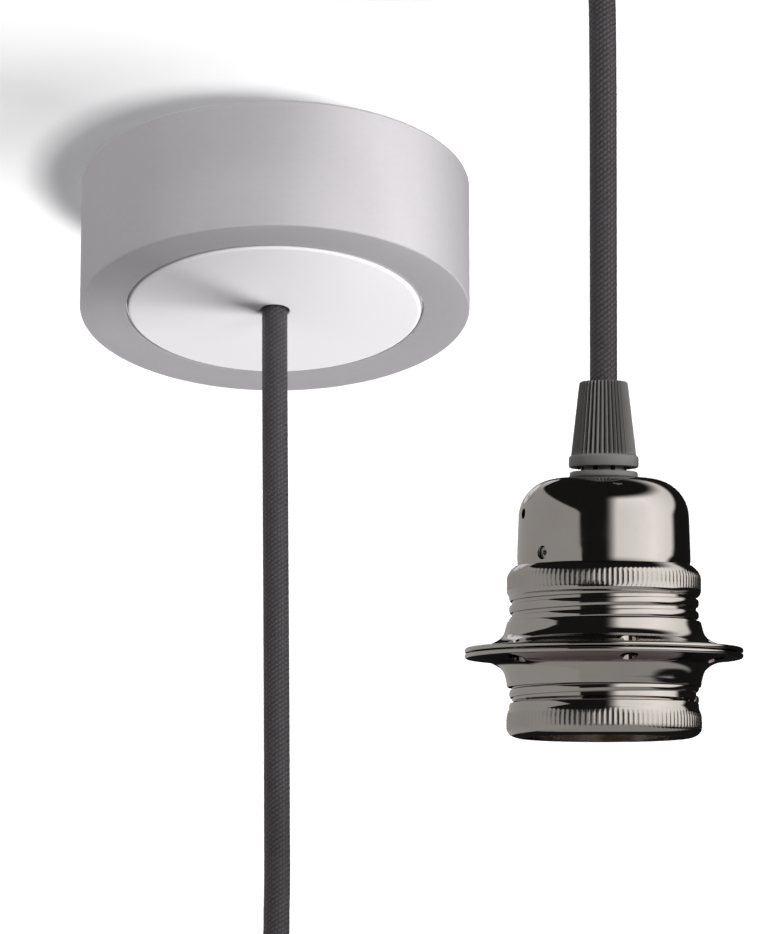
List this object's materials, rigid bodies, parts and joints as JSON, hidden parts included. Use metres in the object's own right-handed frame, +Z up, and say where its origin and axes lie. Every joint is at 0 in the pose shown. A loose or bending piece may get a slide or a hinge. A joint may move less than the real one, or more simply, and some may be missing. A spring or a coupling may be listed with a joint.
{
  "type": "pendant cord set",
  "caption": "Pendant cord set: round ceiling rose, textile cord over a ceiling hook, ribbed cord grip and dark metal screw lamp holder with flanged shade rings.",
  "frame": {"origin": "centre of the rose's mounting bracket, on its ceiling face", "axes": "+Z up, out of the ceiling face; the lamp holder hangs on the -Y side, to the right (+X) of the rose"},
  "size_m": [0.1604, 0.1956, 0.2834],
  "materials": {
    "brushed_aluminium": "fine brushed",
    "white_disc": "satin",
    "plated_steel": "satin",
    "brass_parts": "satin",
    "black_chrome": "polished, dark",
    "grip_nylon": "satin",
    "textile_cord": "woven",
    "porcelain": "glazed",
    "block_nylon": "satin",
    "core_brown": "satin",
    "core_blue": "satin",
    "core_earth": "satin",
    "tie_band": "woven"
  },
  "bodies": {
    "root": {"rose_ring": "brushed_aluminium", "rose_cover_disc": "white_disc", "mounting_bracket": "plated_steel", "rose_grub_screw_right": "plated_steel", "rose_grub_screw_left": "plated_steel", "terminal_block": "block_nylon", "cord_clamp_saddle": "plated_steel", "cord_clamp_screw_left": "plated_steel", "cord_clamp_screw_right": "plated_steel", "rose_core_brown": "core_brown", "rose_core_earth": "core_earth", "rose_core_blue": "core_blue", "cord_from_rose": "textile_cord", "cord_coil": "textile_cord", "coil_tie_1": "tie_band", "coil_tie_2": "tie_band", "cord_to_holder": "textile_cord", "ceiling_hook": "plated_steel", "threaded_shell": "black_chrome", "upper_shade_ring": "black_chrome", "lower_shade_ring": "black_chrome", "retaining_ring": "black_chrome", "dome_cap": "black_chrome", "dome_lock_screw": "plated_steel", "cord_grip_base": "grip_nylon", "cord_grip_sleeve": "grip_nylon", "nipple_locknut": "plated_steel", "earth_tab": "brass_parts", "porcelain_insulator": "porcelain", "lamp_screw_sleeve": "brass_parts", "centre_contact": "brass_parts", "contact_rivet": "brass_parts", "terminal_live": "brass_parts", "terminal_neutral": "brass_parts", "terminal_screw_live": "plated_steel", "terminal_screw_neutral": "plated_steel", "holder_core_brown": "core_brown", "holder_core_blue": "core_blue", "holder_core_earth": "core_earth", "terminal_sleeve_1": "brass_parts", "clamp_screw_1_outer": "plated_steel", "clamp_screw_1_inner": "plated_steel", "terminal_sleeve_2": "brass_parts", "clamp_screw_2_outer": "plated_steel", "clamp_screw_2_inner": "plated_steel", "terminal_sleeve_3": "brass_parts", "clamp_screw_3_outer": "plated_steel", "clamp_screw_3_inner": "plated_steel"}
  },
  "joints": []
}
